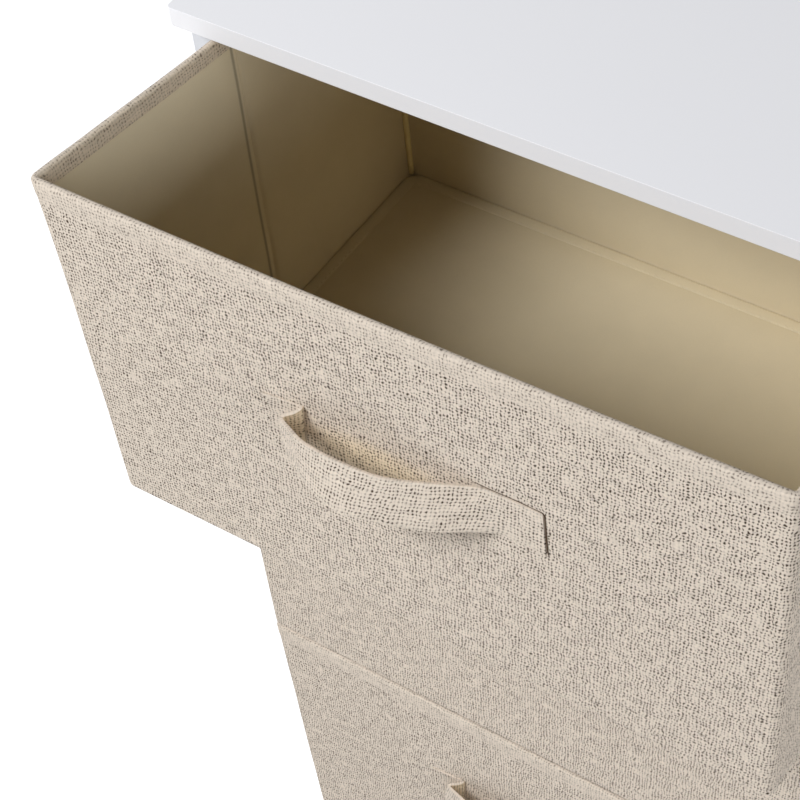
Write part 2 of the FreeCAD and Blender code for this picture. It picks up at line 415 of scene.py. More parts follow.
def cut_across(bm, place, normal):
    """Cuts the whole mesh along a plane."""
    bmesh.ops.bisect_plane(bm, geom=bm.verts[:] + bm.edges[:] + bm.faces[:], dist=0.001 * MM,
                           plane_co=place, plane_no=normal)


def cut_fold(bm, size, depth):
    """Cuts the fold line into both side walls and presses it in by depth at each point."""
    fold = fold_line(size)
    for off in (-3.2, -1.6, -0.8, 0.0, 0.8, 1.6, 3.2):
        cut_across(bm, (0, fold + off * MM, 0), (0, 1, 0))
    for vert in bm.verts:
        press = math.exp(-((vert.co.y - fold) / FOLD_WIDTH) ** 2)
        side = 1 if vert.co.x < size.x / 2 else -1
        if press > 0.01:
            vert.co.x += side * depth(vert.co) * press


def bin_piece(bm, level, name, material, slack=0.0):
    """Slumps a part of a bin, puts it in its place and makes it a piece that rides on the drawer."""
    corner = bin_corner(level)
    for vert in bm.verts:
        vert.co = slumped(level, vert.co, slack) + corner
    return piece(bm, level + "_" + name, level + "_drawer", material)


def ease_into_frame(made, level):
    """Gives the top bin's piece a mesh of its own."""
    if level == "top":
        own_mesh(made)


def sewn_bag(level, cloth, profile, press, start):
    """The bag of a cover or lining, with its folds pressed in and its map. Returns it and its girth."""
    size = bin_size(level)
    bm = bmesh.new()
    girth = loft(bm, (0, 0), (size.x, size.y), cloth.corner, profile, cloth.spacing)
    cut_fold(bm, size, press)
    close(bm)
    lay_cloth_map(bm, girth, start)
    return bm, girth


# ---------------------------------------------------------------- materials

class Value:
    """A number in a material that adds and multiplies as numbers do."""

    def __init__(self, tree, socket):
        self.tree = tree
        self.socket = socket

    def __add__(self, other):
        return self.tree.math("ADD", self, other)

    def __radd__(self, other):
        return self.tree.math("ADD", other, self)

    def __sub__(self, other):
        return self.tree.math("SUBTRACT", self, other)

    def __rsub__(self, other):
        return self.tree.math("SUBTRACT", other, self)

    def __mul__(self, other):
        return self.tree.math("MULTIPLY", self, other)

    def __rmul__(self, other):
        return self.tree.math("MULTIPLY", other, self)

    def __truediv__(self, other):
        return self.tree.math("DIVIDE", self, other)

    def __rtruediv__(self, other):
        return self.tree.math("DIVIDE", other, self)


class Tree:
    """The nodes of a material or of the room, built one by one."""

    def __init__(self, owner):
        owner.use_nodes = True
        self.nodes = owner.node_tree.nodes
        self.links = owner.node_tree.links

    def node(self, kind, settings, inputs):
        """Adds a node, with its settings first and then its inputs, by name or number."""
        made = self.nodes.new(kind)
        for name, value in settings.items():
            setattr(made, name, value)
        for key, value in inputs.items():
            if isinstance(value, Value):
                value = value.socket
            if isinstance(value, bpy.types.NodeSocket):
                self.links.new(value, made.inputs[key])
            else:
                made.inputs[key].default_value = value
        return made

    def math(self, operation, *values):
        """One sum on numbers."""
        made = self.node("ShaderNodeMath", {"operation": operation}, dict(enumerate(values)))
        return Value(self, made.outputs[0])


class Finish(Tree):
    """A material that is being built."""

    def __init__(self, name, roughness, specular=0.5, sheen=0.0, coat=0.0, metallic=0.0):
        self.material = bpy.data.materials.new(name)
        super().__init__(self.material)
        self.shader = self.nodes["Principled BSDF"]
        for key, value in (("Roughness", roughness), ("Specular IOR Level", specular),
                           ("Sheen Weight", sheen), ("Coat Weight", coat), ("Metallic", metallic)):
            self.shader.inputs[key].default_value = value

    def clamped(self, value, low, high):
        """How far the value is on its way from low to high, eased, from 0 to 1."""
        made = self.node("ShaderNodeMapRange", {"interpolation_type": "SMOOTHSTEP"},
                         {"Value": value, "From Min": low, "From Max": high})
        return Value(self, made.outputs["Result"])

    def cloth(self):
        """The piece's own cloth map, in metres: u along the weft, v along the warp."""
        made = self.node("ShaderNodeUVMap", {"uv_map": "cloth"}, {})
        parts = self.node("ShaderNodeSeparateXYZ", {}, {0: made.outputs[0]})
        return Value(self, parts.outputs[0]), Value(self, parts.outputs[1])

    def place(self):
        """The point's place on the object, in metres."""
        return self.node("ShaderNodeTexCoord", {}, {}).outputs["Object"]

    def join(self, x, y, z=0.0):
        """A vector from three numbers."""
        return self.node("ShaderNodeCombineXYZ", {}, {0: x, 1: y, 2: z}).outputs[0]

    def noise(self, vector, scale, detail=2.0, roughness=0.5):
        """Soft noise from 0 to 1, with about one bump in 1 / scale metres."""
        made = self.node("ShaderNodeTexNoise", {},
                         {"Vector": vector, "Scale": scale, "Detail": detail,
                          "Roughness": roughness})
        return Value(self, made.outputs["Fac"])

    def dice(self, vector):
        """A different number from 0 to 1 for each vector."""
        made = self.node("ShaderNodeTexWhiteNoise", {"noise_dimensions": "3D"}, {"Vector": vector})
        return Value(self, made.outputs["Value"])

    def mix(self, share, first, second):
        """The first colour, going over to the second as share goes to 1."""
        made = self.node("ShaderNodeMix", {"data_type": "RGBA", "clamp_factor": True},
                         {"Factor": share, 6: first, 7: second})
        return made.outputs[2]

    def tint(self, base, amount):
        """The colour made lighter or darker by amount, where 1 leaves it as it is."""
        made = self.node("ShaderNodeVectorMath", {"operation": "SCALE"},
                         {0: base, "Scale": amount})
        return made.outputs[0]

    def paint(self, base):
        """Feeds the base colour."""
        self.links.new(base, self.shader.inputs["Base Color"])

    def roughen(self, value):
        """Feeds the roughness."""
        self.links.new(value.socket, self.shader.inputs["Roughness"])

    def bump(self, height, strength, distance):
        """Feeds the normal from a height between 0 and 1."""
        made = self.node("ShaderNodeBump", {}, {"Height": height, "Strength": strength,
                                                "Distance": distance})
        self.links.new(made.outputs[0], self.shader.inputs["Normal"])


def rgba(value):
    """A colour as a Mix node takes it."""
    return (*value, 1.0)


# Distance between the weft's threads and between the warp's, and how even the weave is.
COVER_WEAVE = (1.88 * MM, 2.12 * MM, 0.35)
STRAP_WEAVE = (2.00 * MM, 2.13 * MM, 0.5)
GRAIN_LEAN = 0.055        # how far the threads lean out of square
# Up the cover's map, in metres: where the cloth starts to lie double, and where it has turned in.
HEM_BAND = (0.2105, 0.2260)
PAINTED_WARM_LIGHT = (1.0, 0.95, 0.80)      # painted warm bounce light on linen that faces linen close by
LEVEL_PITCH = bin_corner("middle").z - bin_corner("bottom").z
# The pocket behind a strap, where warm bounce light is painted on the cover: its middle, across from
# the frame's middle and up from a bin's underside, half its width and height, and the places in y
# between which the painted light sets in, so that it stays on the front walls.
POCKET_MIDDLE = (-22 * MM, 121 * MM)
POCKET_HALF = (60 * MM, 20 * MM)
POCKET_FRONT = (-70 * MM, -90 * MM)


def wander(finish, thread, at, loose):
    """The number of the thread at a place, once the threads have swayed and jolted out of line."""
    sway = (finish.noise(at, 130, 1) - 0.5) * 2.4 * loose
    jolt = (finish.noise(at, 330, 1) - 0.5) * 1.8 * loose
    return thread + sway + jolt


def weave(finish, u, v, weft_pitch, warp_pitch, loose):
    """How near a place is to the middle of a gap, across and up, and a random number for each gap."""
    across = wander(finish, (u - v * GRAIN_LEAN) / weft_pitch, finish.join(u, v), loose)
    up = wander(finish, (v - u * GRAIN_LEAN) / warp_pitch, finish.join(v, u, 3.0), loose)
    gap_across = 0.5 - 0.5 * finish.math("COSINE", across * math.tau)
    gap_up = 0.5 - 0.5 * finish.math("COSINE", up * math.tau)
    cell = finish.dice(finish.join(finish.math("FLOOR", across), finish.math("FLOOR", up))) - 0.5
    return gap_across, gap_up, cell


def linen(name, colours, weft_pitch, warp_pitch, evenness, hem_band=False, selvedge=0.0,
          shaded=0.0):
    """Open plain-weave linen: pale slubby threads round small dark gaps.

    Evenness goes from 0, slubby, to 1, regular. A strap has next to no gaps along its folded
    edges, which lie at 0 and at selvedge up the map. Linen for a strap's inner side has painted warm
    bounce light all over. On a cover, warm bounce light is painted in the pocket behind the strap and on
    the turned-in hem, and the hem is also painted a little darker as painted shade.
    """
    finish = Finish(name, roughness=0.92, specular=0.14, sheen=0.04)
    u, v = finish.cloth()
    place = finish.join(u, v)
    loose = 1 - evenness
    gap_across, gap_up, cell = weave(finish, u, v, weft_pitch, warp_pitch, loose)
    row_slub = finish.noise(finish.join(u * 70, v * 460), 1, 1) - 0.5
    column_slub = finish.noise(finish.join(u * 460, v * 90, 4.0), 1, 1) - 0.5
    fleck = finish.noise(finish.join(u - v * 0.3, v * 0.7), 820, 2, 0.6) - 0.5
    patch = finish.noise(place, 170, 2) - 0.5
    ragged = row_slub * 1.3 + column_slub * 1.0 + patch * 1.9 + fleck * 1.2 + cell * 0.45
    narrow = gap_across * (0.25 + gap_across * 0.75) * gap_up
    gap = finish.clamped(narrow + fleck * 1.9 * loose, 0.22, 0.78)
    open_share = finish.clamped(ragged * (0.4 + 0.7 * loose) + 0.5, -0.10, 0.85)
    hole = gap * open_share * (1.3 + 0.55 * loose)
    hole = hole + finish.clamped(fleck * 1.5 + patch + row_slub * 0.8, 0.14, 0.60) * 0.8 * loose
    if hem_band:
        doubled = finish.clamped(v, HEM_BAND[0] - 0.4 * MM, HEM_BAND[0] + 0.4 * MM)
        turned_in = finish.clamped(v, HEM_BAND[1] - 1.0 * MM, HEM_BAND[1] + 1.0 * MM)
        hole = hole * (1 - doubled * 0.6 - turned_in * 0.05)
    if selvedge:
        inside = finish.clamped(v, 0.4 * MM, 1.5 * MM)
        inside = inside * finish.clamped(selvedge - v, 0.4 * MM, 1.5 * MM)
        hole = hole * (0.15 + inside * 0.6)
    fibre = finish.noise(place, 2600, 2)
    furrow = gap_across * gap_across + gap_up * gap_up
    tone = 1.03 - (row_slub + column_slub) * 0.2 - patch * 0.1
    tone = tone + (fibre - 0.5) * 0.2 - furrow * 0.09
    # Painted light and shade: the thread is tinted warm where bounce light is painted, and the turned-in
    # hem is also painted 5 per cent darker as painted shade.
    painted_warmth = shaded
    if hem_band:
        tone = tone * (1 - turned_in * 0.05)
        painted_warmth = finish.math("MAXIMUM", turned_in * 0.5, painted_pocket_light(finish))
    warm = tuple(part * share for part, share in zip(colours.thread, PAINTED_WARM_LIGHT))
    thread = finish.tint(finish.mix(painted_warmth, rgba(colours.thread), rgba(warm)), tone)
    finish.paint(finish.mix(hole, thread, rgba(colours.gap)))
    ridge = (1 - gap_across * gap_up) * 0.5 - ragged * 0.2 + fibre * 0.12
    finish.bump(ridge - hole * 0.6, strength=0.5, distance=0.4 * MM)
    return finish.material


def painted_pocket_light(finish):
    """1 on a cover in the middle of the pocket behind its strap, and 0 away from there: where warm
    bounce light is painted.
    """
    parts = finish.node("ShaderNodeSeparateXYZ", {}, {0: finish.place()})
    x, y, z = (Value(finish, socket) for socket in parts.outputs)
    height = finish.math("MODULO", z, LEVEL_PITCH)
    across = (x - POCKET_MIDDLE[0]) / POCKET_HALF[0]
    up = (height - (bin_corner("bottom").z + POCKET_MIDDLE[1])) / POCKET_HALF[1]
    near = 1 - across * across - up * up
    return finish.clamped(near, 0.0, 1.1) * finish.clamped(y, *POCKET_FRONT)


def felt(name, colour_value, mottling, folds=()):
    """Matt non-woven cloth: pressed fibres with a faint mottling, and painted shade along each fold
    line.

    The folds are distances along the cloth map.
    """
    finish = Finish(name, roughness=0.95, specular=0.2, sheen=0.05)
    place = finish.place()
    cloudy = finish.noise(place, 45, 3)
    fine = finish.noise(place, 1500, 3, 0.6)
    tone = 1 + (cloudy - 0.5) * mottling + (fine - 0.5) * mottling
    # Painted shade: the cloth is painted up to 45 per cent darker within about 1.6 mm of each fold line.
    if folds:
        along = finish.cloth()[0]
        for fold in folds:
            away = finish.math("ABSOLUTE", along - fold)
            tone = tone * (0.55 + finish.clamped(away, 0.2 * MM, 1.6 * MM) * 0.45)
    finish.paint(finish.tint(colour_value, tone))
    finish.bump(fine * 0.6 + finish.noise(place, 420, 2) * 0.4, strength=0.35, distance=0.25 * MM)
    return finish.material


BOARD_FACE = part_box("top_board")[1].z


def laminate(name, colours):
    """Satin laminate with the faintest pearl in it, and painted shade that makes its edges darker than
    its top face.
    """
    finish = Finish(name, roughness=0.6, specular=0.22)
    place = finish.place()
    fine = finish.noise(place, 900, 2)
    cloudy = finish.noise(place, 9, 2)
    height = finish.node("ShaderNodeSeparateXYZ", {}, {0: place}).outputs["Z"]
    # Painted shade: below its top face the board is painted 2.5 per cent darker.
    face = finish.clamped(height, BOARD_FACE - 0.6 * MM, BOARD_FACE - 0.1 * MM)
    tone = 0.967 + face * 0.025 + (cloudy - 0.5) * 0.012 + (fine - 0.5) * 0.010
    finish.paint(finish.tint(colours.board, tone))
    finish.roughen(0.60 + (fine - 0.5) * 0.10 + (cloudy - 0.5) * 0.04)
    finish.bump(fine, strength=0.10, distance=0.04 * MM)
    return finish.material


def powder_coat(name, colour_value):
    """White powder coat with a fine orange-peel skin."""
    finish = Finish(name, roughness=0.38, specular=0.45, coat=0.15)
    place = finish.place()
    peel = finish.noise(place, 700, 2)
    dust = finish.noise(place, 30, 3)
    finish.paint(finish.tint(colour_value, 0.985 + (dust - 0.5) * 0.03))
    finish.roughen(0.36 + (dust - 0.5) * 0.10 + (peel - 0.5) * 0.08)
    finish.bump(peel, strength=0.18, distance=0.08 * MM)
    return finish.material


def moulded(name, colour_value):
    """Moulded plastic with a fine spark-eroded grain."""
    finish = Finish(name, roughness=0.5, specular=0.45)
    place = finish.place()
    grain = finish.noise(place, 2200, 2)
    finish.paint(finish.tint(colour_value, 0.97 + (grain - 0.5) * 0.05))
    finish.roughen(0.46 + (grain - 0.5) * 0.16)
    finish.bump(grain, strength=0.25, distance=0.05 * MM)
    return finish.material


def plated(name, colour_value, roughness):
    """Zinc plate, faintly spangled and scuffed."""
    finish = Finish(name, roughness=roughness, metallic=1.0)
    place = finish.place()
    spangle = finish.noise(place, 600, 3)
    scuff = finish.noise(place, 140, 4, 0.65)
    finish.paint(finish.tint(colour_value, 0.90 + (spangle - 0.5) * 0.16))
    finish.roughen(roughness + (scuff - 0.5) * 0.25)
    finish.bump(scuff, strength=0.15, distance=0.05 * MM)
    return finish.material


def made_material(name, make, *values, **choices):
    """The material of that name, made on its first use."""
    return bpy.data.materials.get(name) or make(name, *values, **choices)


# ---------------------------------------------------------------- covers and linings

def cover_profile(cloth, height):
    """Steps of the cover: up the outer wall, over the rim, down the hem and back down inside."""
    ridge = 0.28 * MM            # the wall stands out a little where the hem lies behind it
    inner = 4.8 * MM
    hem_back = 3.8 * MM
    hem_foot = height - cloth.hem
    bend = 2.4 * MM
    steps = [(3.0 * MM, 0.0), (1.2 * MM, 0.5 * MM), (0.35 * MM, 1.4 * MM)]
    steps += rows(ridge, 3.2 * MM, hem_foot - 2.0 * MM, 24)
    steps += [(0.22 * MM, hem_foot - 0.8 * MM), (0.0, hem_foot + 0.4 * MM)]
    steps += rows(0.0, hem_foot + 3.0 * MM, height - bend, 2)
    for turn in (25, 50, 75, 90, 105, 130, 155, 180):
        swept = math.radians(turn)
        steps.append((bend - bend * math.cos(swept), height - bend + bend * math.sin(swept)))
    steps += [(inner, height - 6.0 * MM), (inner, hem_foot + 0.3 * MM),
              (inner - 0.2 * MM, hem_foot), (hem_back, hem_foot), (hem_back, height - 3.0 * MM),
              (cloth.cover, height - 3.0 * MM)]
    steps += rows(cloth.cover, height - 8.0 * MM, cloth.cover, 20)
    return steps


def cover_press(point):
    """How far the fold line is pressed into the cover at a point: deeper close under the rim."""
    rim = clamp((point.z - 180 * MM) / (40 * MM), 0.0, 1.0)
    return (0.35 + 0.25 * rim) * MM


class DRESSER_OT_covers(bpy.types.Operator):
    """Sews the linen cover of every bin, with its hem turned in over the rim"""

    bl_idname = "dresser.covers"
    bl_label = "Covers"

    def execute(self, context):
        scene = context.scene
        cloth = scene.dresser_cloth
        material = made_material("woven_linen", linen, scene.dresser_colours, *COVER_WEAVE,
                                 hem_band=True)
        for index, level in enumerate(LEVELS):
            size = bin_size(level)
            profile = cover_profile(cloth, size.z)
            bm = sewn_bag(level, cloth, profile, cover_press, MAP_STEP * index)[0]
            made = bin_piece(bm, level, "cover", material, cloth.slack)
            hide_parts(level + "_drawer_cover")
            ease_into_frame(made, level)
        return {"FINISHED"}


LINING_INSET = 3.2 * MM   # of its back, behind cover and boards
LINING_DROP = 4.0 * MM    # of its top edge, under the rim


def lining_profile(cloth, height):
    """Steps of the lining: up its back, over its top edge under the hem, and down its face."""
    face = LINING_INSET + cloth.lining
    floor = cloth.cover + 0.05 * MM
    top = height - LINING_DROP
    return rows(LINING_INSET, floor, top, 20) + rows(face, top, floor + cloth.lining, 20)


class DRESSER_OT_linings(bpy.types.Operator):
    """Hangs the lining in every bin, with the fold line of its side walls"""

    bl_idname = "dresser.linings"
    bl_label = "Linings"

    def execute(self, context):
        scene = context.scene
        cloth = scene.dresser_cloth
        for level in LEVELS:
            size = bin_size(level)
            bm, girth = sewn_bag(level, cloth, lining_profile(cloth, size.z),
                                 lambda point: -cloth.crease * min(1.0, point.z / (20 * MM)), 0.0)
            fold = size.x / 2 + size.y - fold_line(size) - (4 - math.pi) * cloth.corner / 2
            # The lining is painted darker along its two fold lines, as painted shade.
            material = made_material("pressed_lining", felt, scene.dresser_colours.lining, 0.07,
                                     (fold, girth - fold))
            made = bin_piece(bm, level, "lining", material, cloth.slack)
            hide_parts(level + "_drawer_lining")
            ease_into_frame(made, level)
        return {"FINISHED"}


def add_block(bm, low, high, spacing):
    """A box from the corner low to the corner high, cut into squares of about the spacing.

    The dict stands for a set that keeps its order, so every run makes the same mesh.
    """
    low = Vector(low)
    spread = Vector(high) - low
    made = add_box(bm, low, low + spread)
    for axis in range(3):
        count = round(spread[axis] / spacing)
        geometry = dict.fromkeys(part for vert in made
                                 for part in (vert, *vert.link_edges, *vert.link_faces))
        normal = Vector((axis == 0, axis == 1, axis == 2))
        for step in range(1, count):
            cut = bmesh.ops.bisect_plane(bm, geom=list(geometry), dist=0.001 * MM,
                                         plane_co=low + spread * step / count, plane_no=normal)
            geometry.update(dict.fromkeys([*cut["geom"], *cut["geom_cut"]]))
        made = [part for part in geometry if isinstance(part, bmesh.types.BMVert)]


BOARD_GRID = 20 * MM      # distance between the points of a flat board
BOARD_FACES = (1.15 * MM, 3.05 * MM)     # outer and inner face of a stiffening board, from outside
BOARD_END = 7.0 * MM      # from a bin's corner to a board's end
BOARD_FOOT = 3.0 * MM     # from the underside to a board's foot
BOARD_DROP = 12.0 * MM    # from the rim down to a board's top
FOLD_HALF = 2.4 * MM      # half the gap between the two halves of a side board


class DRESSER_OT_boards(bpy.types.Operator):
    """Puts the stiffening boards between cover and lining, those of the sides in two folding halves"""

    bl_idname = "dresser.boards"
    bl_label = "Stiffening boards"

    def execute(self, context):
        scene = context.scene
        cloth = scene.dresser_cloth
        material = made_material("greyboard", felt, scene.dresser_colours.lining, 0.05)
        for level in LEVELS:
            size = bin_size(level)
            outer, inner = BOARD_FACES
            end = BOARD_END
            top = size.z - BOARD_DROP
            fold = fold_line(size)
            bm = bmesh.new()
            for low_y, high_y in ((outer, inner), (size.y - inner, size.y - outer)):
                add_block(bm, (end, low_y, BOARD_FOOT), (size.x - end, high_y, top), BOARD_GRID)
            for low_x, high_x in ((outer, inner), (size.x - inner, size.x - outer)):
                for low_y, high_y in ((end, fold - FOLD_HALF), (fold + FOLD_HALF, size.y - end)):
                    add_block(bm, (low_x, low_y, BOARD_FOOT), (high_x, high_y, top), BOARD_GRID)
            close(bm)
            made = bin_piece(bm, level, "boards", material, cloth.slack)
            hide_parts(*[level + "_drawer_" + board for board in
                                ("front_board", "back_board", "left_boards", "right_boards")])
            ease_into_frame(made, level)
        return {"FINISHED"}


# ---------------------------------------------------------------- base boards

CURL_REACH = 70 * MM      # how far in from its edges a base board curls up
CURL = 2.0 * MM


def curled(point, size):
    """How far a base board has curled up at a point."""
    edge = min(point.x, size.x - point.x, point.y, size.y - point.y)
    return CURL * max(0.0, 1 - edge / CURL_REACH) ** 2


def curl_up(bm, size):
    """Curls a mesh up with the base board that it is part of."""
    for vert in bm.verts:
        vert.co.z += curled(vert.co, size)


def stitch_run(bm, points, strap, normal):
    """Sews one stitch at each point, lying along the run and on the face that normal points from."""
    for index, point in enumerate(points):
        after = points[(index + 1) % len(points)]
        before = points[index - 1]
        along = (after - before).normalized()
        side = normal.cross(along).normalized()
        turn = Matrix((along, side, normal)).transposed().to_4x4()
        add_grain(bm, Matrix.Translation(point) @ turn,
                  (strap.stitch / 2, strap.thread / 2, strap.thread / 2))


def rounded_path(low, high, radius, pitch):
    """Points about a pitch apart round a rounded rectangle."""
    bm = bmesh.new()
    edge = outline(bm, low, high, radius, pitch)[0]
    walk = [vert.co.copy() for vert, _ in walk_round(edge.verts[0], edge)]
    bm.free()
    spaced = [walk[0]]
    for point in walk[1:]:
        if (point - spaced[-1]).length > 0.6 * pitch:
            spaced.append(point)
    return spaced


def plate_profile(foot, top):
    """Steps of a base board's plate, from its foot to its top."""
    return [(2.2 * MM, foot), (1.0 * MM, foot + 0.6 * MM), (1.0 * MM, top - 1.0 * MM),
            (1.4 * MM, top - 0.2 * MM), (2.0 * MM, top)]


def binding_profile(board, foot, top):
    """Steps round a base board's binding: up outside, over its rounded back and down inside."""
    half = board.binding / 2
    ring = [(1.3 * MM, foot + 1.0 * MM), (0.0, foot + 2.0 * MM), (0.0, top - 1.2 * MM)]
    for turn in range(15, 180, 15):
        swept = math.radians(turn)
        ring.append((half - half * math.cos(swept), top + board.binding_rise * math.sin(swept)))
    ring += [(board.binding, top - 0.2 * MM), (board.binding, foot + 3.0 * MM),
             (1.3 * MM, foot + 3.0 * MM)]
    return ring


class DRESSER_OT_base_boards(bpy.types.Operator):
    """Lays the loose base board in every bin, with its bound and stitched edge"""

    bl_idname = "dresser.base_boards"
    bl_label = "Base boards"

    def execute(self, context):
        scene = context.scene
        board = scene.dresser_board
        colour_value = scene.dresser_colours.lining
        field = made_material("pressed_base_cloth", felt, colour_value, 0.08)
        thread = made_material("sewing_thread", felt, colour_value, 0.04)
        for index, level in enumerate(LEVELS):
            low_box, high_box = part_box(level + "_drawer_base_insert")
            low = low_box - bin_corner(level)
            high = high_box - bin_corner(level)
            top = high.z - board.binding_rise
            self.lay_plate(scene, level, MAP_STEP * index, low, high, top, field)
            self.bind_edge(scene, level, MAP_STEP * index + MAP_GAP, low, high, top, field)
            self.stitch_edge(scene, level, low, high, top, thread)
        return {"FINISHED"}

    def lay_plate(self, scene, level, start, low, high, top, material):
        """The board itself."""
        radius = scene.dresser_board.binding + 1.0 * MM
        bm = bmesh.new()
        girth = loft(bm, low, high, radius, plate_profile(low.z, top), scene.dresser_cloth.spacing)
        close(bm)
        for axis in range(2):
            normal = Vector((axis == 0, axis == 1, 0))
            count = round(high[axis] / BOARD_GRID)
            for step in range(1, count):
                cut_across(bm, low + (high - low) * step / count, normal)
        lay_cloth_map(bm, girth, start)
        curl_up(bm, bin_size(level))
        made = bin_piece(bm, level, "base_board", material)
        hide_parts(level + "_drawer_base_insert")
        ease_into_frame(made, level)

    def bind_edge(self, scene, level, start, low, high, top, material):
        """The binding round the board's edge."""
        board = scene.dresser_board
        bm = bmesh.new()
        girth = loft(bm, low, high, board.binding + 1.0 * MM, binding_profile(board, low.z, top),
                     scene.dresser_cloth.spacing)
        caps = [face for face in bm.faces if len(face.verts) > 20]
        bmesh.ops.delete(bm, geom=caps, context="FACES_ONLY")
        ends = [edge for edge in bm.edges if edge.is_boundary]
        bmesh.ops.bridge_loops(bm, edges=ends)
        close(bm)
        lay_cloth_map(bm, girth, start)
        curl_up(bm, bin_size(level))
        ease_into_frame(bin_piece(bm, level, "base_binding", material), level)

    def stitch_edge(self, scene, level, low, high, top, material):
        """The stitches along the binding's inner side."""
        board = scene.dresser_board
        inset = board.binding - 1.1 * MM
        radius = board.binding + 1.0 * MM - inset
        margin = Vector((inset, inset, 0))
        path = rounded_path(low + margin, high - margin, radius, scene.dresser_strap.pitch)
        for point in path:
            point.z = top + board.binding_rise * 0.62 + curled(point, bin_size(level))
        bm = bmesh.new()
        stitch_run(bm, path, scene.dresser_strap, Vector((0, 0, 1)))
        ease_into_frame(bin_piece(bm, level, "base_stitches", material), level)


# ---------------------------------------------------------------- handles

# The strap's two edges, one point of each to a row: the distance from the bin's left side, how
# far it stands out from the front, and the height above the bin's underside, in millimetres.
STRAP_EDGES = (
    ((120.6, -0.2, 138.6), (120.4, -0.2, 118.0)),
    ((132.0, -0.2, 140.4), (131.5, -0.2, 116.2)),
    ((144.8, 0.2, 141.8), (142.6, 0.2, 115.0)),
    ((144.6, 5.2, 141.8), (137.0, 2.0, 114.4)),
    ((141.0, 10.9, 141.7), (131.4, 3.3, 114.2)),
    ((149.0, 14.8, 141.0), (144.5, 12.6, 114.2)),
    ((159.4, 18.2, 140.6), (158.1, 21.2, 114.1)),
    ((180.0, 19.9, 141.2), (178.0, 28.2, 114.4)),
    ((202.4, 18.6, 141.6), (196.0, 25.2, 114.1)),
    ((224.4, 10.3, 141.6), (222.5, 17.6, 114.1)),
    ((245.2, 0.8, 141.4), (240.5, 7.4, 113.6)),
    ((256.5, 0.0, 141.4), (254.0, 0.4, 113.0)),
    ((268.0, -0.2, 141.2), (267.5, -0.2, 112.0)),
    ((278.2, -0.5, 140.9), (278.6, -0.5, 111.2)),
)
# How far each strap stands out, as a share of what the edges say, and, in millimetres, how far it
# lies to the right and upwards and how far its fold leans to the right.
STRAP_SET = {"top": (1.0, 0.0, 0.0, 0.0), "middle": (0.5, 0.0, 0.0, 0.0),
             "bottom": (0.71, -4.5, 8.0, -2.5)}
FOLD_ROW = 4              # the row at the fold
FOLD_ROWS = 1.5           # how many rows to each side lean with it
STRAP_MAP = 6.0           # where the straps' cloth map starts, past those of the covers
STRAP_STEPS = 6           # steps of the mesh from one row to the next
# Painted shade: dark grains at these points stand for the shade in the stitch holes of the strap's left
# tab.
STRAP_TAB_STITCHES = ((122.6, 136.4), (122.8, 132.2), (122.2, 127.6), (122.4, 121.4),
                      (133.4, 139.0))
# The slit that the strap's right end goes into and the line of its upper edge, as points of the
# distance from the bin's left side, the height above its underside and half the line's width. A dark
# bead along them is painted shade in the slit.
STRAP_SLIT = ((240.0, 142.2, 0.08), (250.0, 142.0, 0.20), (260.0, 142.1, 0.14),
              (266.0, 142.2, 0.24), (272.0, 141.8, 0.16), (277.8, 141.6, 0.24),
              (279.1, 140.2, 0.32), (279.2, 133.0, 0.30), (279.3, 124.0, 0.42),
              (279.5, 115.5, 0.38), (279.8, 112.8, 0.24), (280.4, 111.6, 0.10))


def smooth_point(points, share):
    """A point on the smooth curve through the points; share counts from one point to the next."""
    span = min(int(share), len(points) - 2)
    t = share - span
    first = points[max(span - 1, 0)]
    second = points[span]
    third = points[span + 1]
    fourth = points[min(span + 2, len(points) - 1)]
    return 0.5 * ((2 * second) + (third - first) * t
                  + (2 * first - 5 * second + 4 * third - fourth) * t * t
                  + (3 * second - first - 3 * third + fourth) * t ** 3)


def strap_edge(side, level):
    """One edge of the strap, as points from the bin's front left lower corner."""
    stand, right, up, lean = STRAP_SET[level]
    points = []
    for row, pair in enumerate(STRAP_EDGES):
        x, out, z = pair[side]
        hang = lean * math.exp(-((row - FOLD_ROW) / FOLD_ROWS) ** 2)
        points.append(Vector((x + right + hang, -out * (stand if out > 0 else 1.0), z + up)) * MM)
    return points


def strap_mesh(level, width, start):
    """A level's strap as one layer of cloth, with its map from start."""
    upper = strap_edge(0, level)
    lower = strap_edge(1, level)
    spans = len(STRAP_EDGES) - 1
    count = spans * STRAP_STEPS
    bm = bmesh.new()
    bmesh.ops.create_grid(bm, x_segments=count, y_segments=8, size=0.5, calc_uvs=False)
    centres = []
    for step in range(count + 1):
        share = step / STRAP_STEPS
        centres.append((smooth_point(lower, share) + smooth_point(upper, share)) / 2)
    runs = [0.0]
    for before, after in zip(centres, centres[1:]):
        runs.append(runs[-1] + (after - before).length)
    cloth = bm.loops.layers.uv.new("cloth")
    for face in bm.faces:
        for loop in face.loops:
            run = runs[round((loop.vert.co.x + 0.5) * count)]
            loop[cloth].uv = (start + run, (loop.vert.co.y + 0.5) * width)
    for vert in bm.verts:
        share = (vert.co.x + 0.5) * spans
        rise = vert.co.y + 0.5
        vert.co = smooth_point(lower, share).lerp(smooth_point(upper, share), rise)
    return bm


def double_cloth(made, strap, inside):
    """Gives a strap its thickness and rounded edges, with a material of its own on its inner side, which
    has painted warm bounce light all over.
    """
    made.data.materials.append(inside)
    wall = made.modifiers.new("Strap thickness", "SOLIDIFY")
    wall.thickness = strap.thickness
    wall.offset = 0.0
    wall.material_offset = 1
    rounding = made.modifiers.new("Rounded edges", "BEVEL")
    rounding.width = strap.edge
    rounding.segments = 2
    rounding.angle_limit = math.radians(50)


